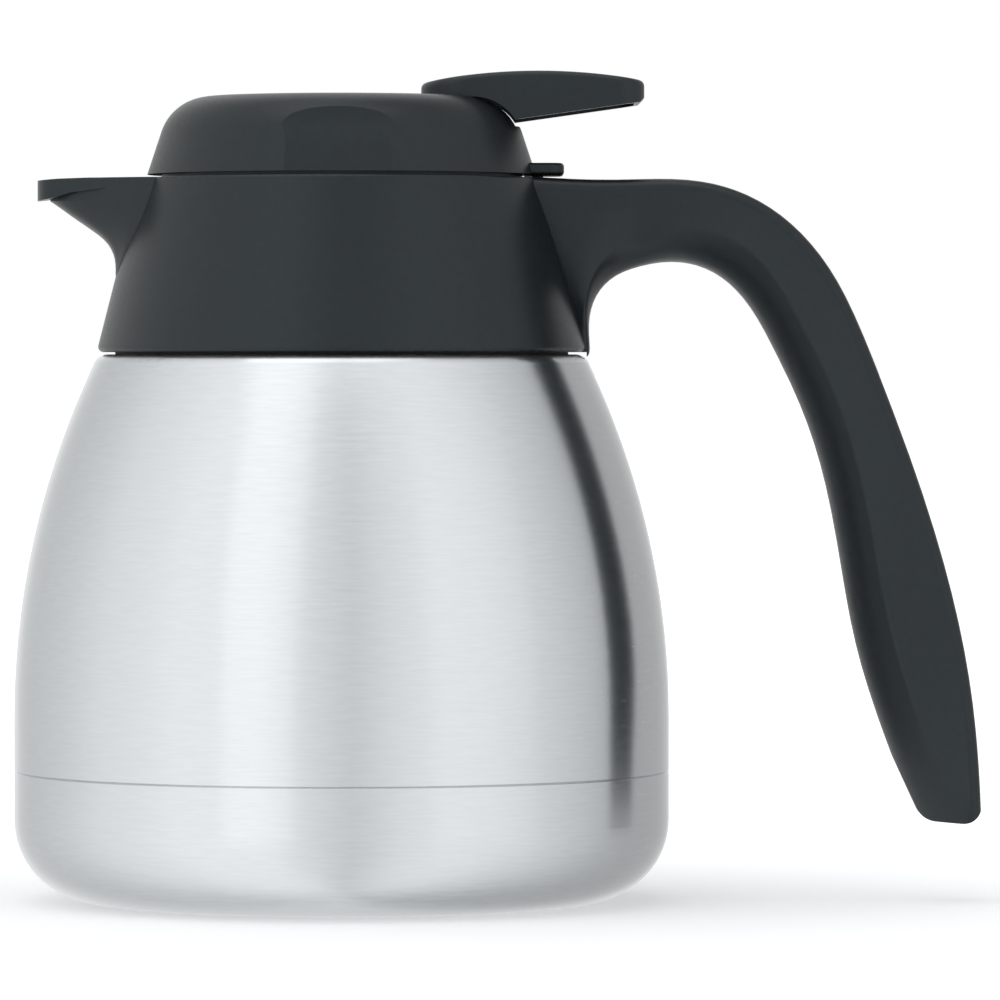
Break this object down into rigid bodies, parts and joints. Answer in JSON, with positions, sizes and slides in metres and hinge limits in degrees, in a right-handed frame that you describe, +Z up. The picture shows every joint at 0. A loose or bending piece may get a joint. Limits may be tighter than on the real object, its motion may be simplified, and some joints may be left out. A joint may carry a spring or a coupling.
{
  "type": "thermal carafe",
  "caption": "Vacuum carafe with a bell-shaped steel body, a spouted collar with an open hook handle, and a twist-out stopper whose thumb lever opens the pouring valve.",
  "frame": {"origin": "on the axis of the steel body, in the plane of the ring it stands on", "axes": "+Z up along the body's axis, +X towards the handle and the lever, -X towards the spout, +Y across"},
  "size_m": [0.1767, 0.12, 0.1516],
  "materials": {
    "brushed_steel": "satin, brushed around the body",
    "liner_steel": "polished",
    "seal_metal": "matt bead",
    "getter_metal": "matt",
    "collar_plastic": "satin, fine grain",
    "cap_plastic": "satin, fine grain",
    "stopper_plastic": "smooth satin",
    "silicone": "matt translucent",
    "seal_rubber": "matt",
    "stem_steel": "turned and polished",
    "spring_steel": "drawn wire",
    "screw_steel": "plated"
  },
  "bodies": {
    "carafe": {"outer_shell": "brushed_steel", "inner_vessel": "liner_steel", "inner_bottom": "liner_steel", "base_cup": "brushed_steel", "vacuum_seal_plug": "seal_metal", "getter": "getter_metal", "collar_handle": "collar_plastic", "neck_gasket": "silicone", "collar_seal": "seal_rubber"},
    "seal_ring": {"stopper_gasket": "silicone"},
    "stopper": {"stopper_body": "stopper_plastic", "stopper_cap": "cap_plastic", "guide_deck": "stopper_plastic", "deck_seal": "silicone", "stem_seal": "silicone", "lever_pin": "stem_steel", "deck_screw_1": "screw_steel", "deck_screw_2": "screw_steel", "deck_screw_3": "screw_steel"},
    "lever_arm": {"lever": "cap_plastic"},
    "valve": {"valve_stem": "stem_steel", "valve_disc": "stopper_plastic", "valve_seal": "silicone", "valve_spring": "spring_steel"}
  },
  "joints": [
    {"name": "stopper_lift", "type": "slide", "parent": "carafe", "child": "seal_ring", "axis": [0, 0, 1], "range_m": [0, 0.06]},
    {"name": "stopper_turn", "type": "hinge", "parent": "seal_ring", "child": "stopper", "pos_m": [0, 0, 0.13], "axis": [0, 0, 1], "range_deg": [0, 90]},
    {"name": "lever_press", "type": "hinge", "parent": "stopper", "child": "lever_arm", "pos_m": [0.027, 0, 0.1402], "axis": [0, 1, 0], "range_deg": [0, 8], "stiffness_Nm_per_rad": 0.6, "springref_deg": -8.59},
    {"name": "valve_lift", "type": "slide", "parent": "stopper", "child": "valve", "axis": [0, 0, 1], "range_m": [0, 0.0038], "deforming": ["valve_spring"]}
  ],
  "couplings": [
    {"joint": "valve_lift", "follows": "lever_press", "m_per_rad": 0.027}
  ]
}
